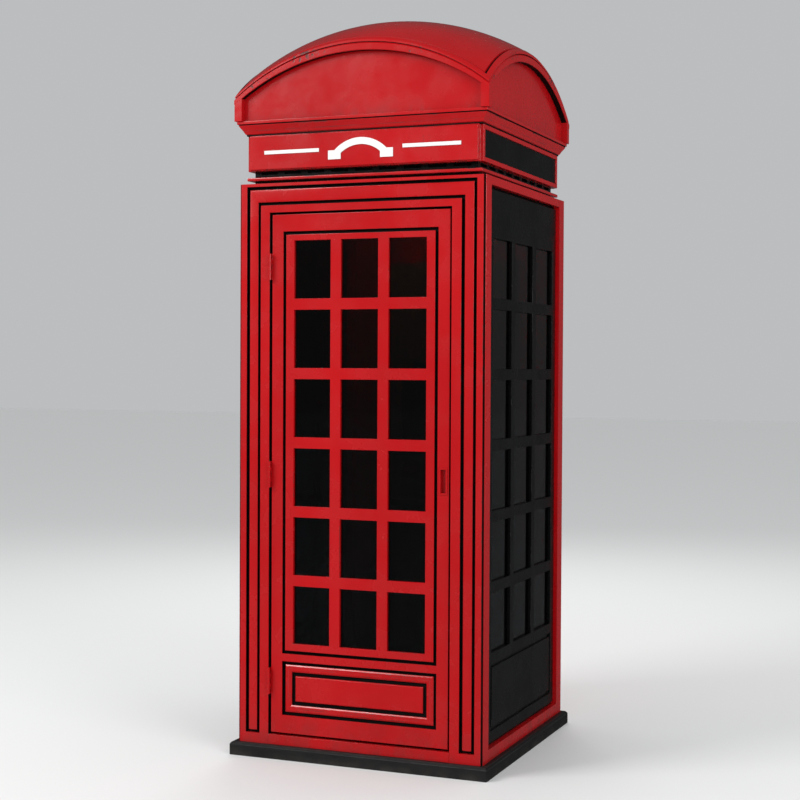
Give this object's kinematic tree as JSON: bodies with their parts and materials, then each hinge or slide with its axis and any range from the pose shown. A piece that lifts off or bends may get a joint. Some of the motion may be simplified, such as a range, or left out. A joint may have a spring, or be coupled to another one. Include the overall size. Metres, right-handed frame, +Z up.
{
  "type": "telephone booth",
  "caption": "Street telephone booth with a domed roof, grids of glass panes on three sides, a hinged door and a dial telephone inside.",
  "frame": {"origin": "centre of the plinth's underside, on the ground", "axes": "+Z up; -Y is the front, where the door is; +X is to the right of someone facing the door"},
  "size_m": [1.05, 1.05, 2.8611],
  "materials": {
    "red_paint": "gloss enamel over cast iron",
    "black_paint": "gloss black enamel over cast iron",
    "plinth_black": "concrete, painted black",
    "floor_iron": "worn, matt",
    "window_glass": "clear, dark behind",
    "sign_black": "gloss",
    "sign_white": "gloss enamel",
    "white_paint": "satin",
    "opal_glass": "opal",
    "conduit_steel": "galvanised",
    "brass": "aged",
    "timber": "varnished",
    "bracket_iron": "black, satin",
    "case_black": "black crackle",
    "chrome": "polished",
    "dial_enamel": "gloss enamel",
    "bakelite": "moulded, gloss"
  },
  "bodies": {
    "kiosk": {"front_left_jamb": "red_paint", "front_right_jamb": "red_paint", "front_head": "red_paint", "door_sill": "red_paint", "front_reed_moulding": "red_paint", "left_side_rails": "red_paint", "right_side_rails": "red_paint", "back_panel": "red_paint", "string_moulding": "red_paint", "fascia_frame": "red_paint", "front_sign_panel": "red_paint", "cornice": "red_paint", "roof_dome": "red_paint", "pediment_hoods": "red_paint", "hinge_frame_leaves": "red_paint", "left_window_casting": "black_paint", "right_window_casting": "black_paint", "left_window_retainer": "black_paint", "right_window_retainer": "black_paint", "vent_neck": "black_paint", "base_plinth": "plinth_black", "floor_plate": "floor_iron", "left_window_glass": "window_glass", "right_window_glass": "window_glass", "side_sign_panels": "sign_black", "front_sign_symbol": "sign_white", "ceiling_panel": "white_paint", "lamp_base": "white_paint", "lamp_globe": "opal_glass", "conduit": "conduit_steel", "frame_bolts": "conduit_steel", "hinge_pins": "brass", "side_retainer_screws": "brass", "coin_box_lock": "brass", "backboard": "timber", "parcel_shelf": "timber", "shelf_brackets": "bracket_iron", "phone_case": "case_black", "coin_slot_plate": "chrome", "coin_return_cup": "chrome", "dial_finger_stop": "chrome", "button_collars": "chrome", "dial_number_plate": "dial_enamel", "handset_cradle": "bakelite"},
    "door": {"door_stiles": "red_paint", "door_rails": "red_paint", "door_window_casting": "red_paint", "door_window_glass": "window_glass", "door_window_retainer": "red_paint", "kick_panel": "red_paint", "kick_moulding": "red_paint", "door_cup_pull": "red_paint", "door_inner_handle": "brass", "hinge_door_leaves": "red_paint", "door_retainer_screws": "brass"},
    "dial_wheel": {"dial_finger_wheel": "chrome"},
    "handset": {"handset": "bakelite"},
    "cradle_plunger": {"cradle_plunger": "bakelite"},
    "left_button": {"left_push_button": "chrome"},
    "right_button": {"right_push_button": "chrome"}
  },
  "joints": [
    {"name": "door_swing", "type": "hinge", "parent": "kiosk", "child": "door", "pos_m": [-0.366, -0.506, 1.086], "axis": [0, 0, -1], "range_deg": [0, 95], "stiffness_Nm_per_rad": 8, "springref_deg": -11.46},
    {"name": "handset_lift", "type": "slide", "parent": "kiosk", "child": "handset", "axis": [0, 0, 1], "range_m": [0, 0.12]},
    {"name": "cradle_rise", "type": "slide", "parent": "kiosk", "child": "cradle_plunger", "axis": [0, 0, 1], "range_m": [0, 0.006]},
    {"name": "dial_turn", "type": "hinge", "parent": "kiosk", "child": "dial_wheel", "pos_m": [0.045, 0.295, 1.28], "axis": [0, 1, 0], "range_deg": [0, 330], "stiffness_Nm_per_rad": 0.02, "springref_deg": -28.65},
    {"name": "left_button_press", "type": "slide", "parent": "kiosk", "child": "left_button", "axis": [0, 1, 0], "range_m": [0, 0.006], "stiffness_N_per_m": 400, "springref_m": -0.003},
    {"name": "right_button_press", "type": "slide", "parent": "kiosk", "child": "right_button", "axis": [0, 1, 0], "range_m": [0, 0.006], "stiffness_N_per_m": 400, "springref_m": -0.003}
  ],
  "couplings": [
    {"joint": "cradle_rise", "follows": "handset_lift", "ratio": 0.05}
  ]
}
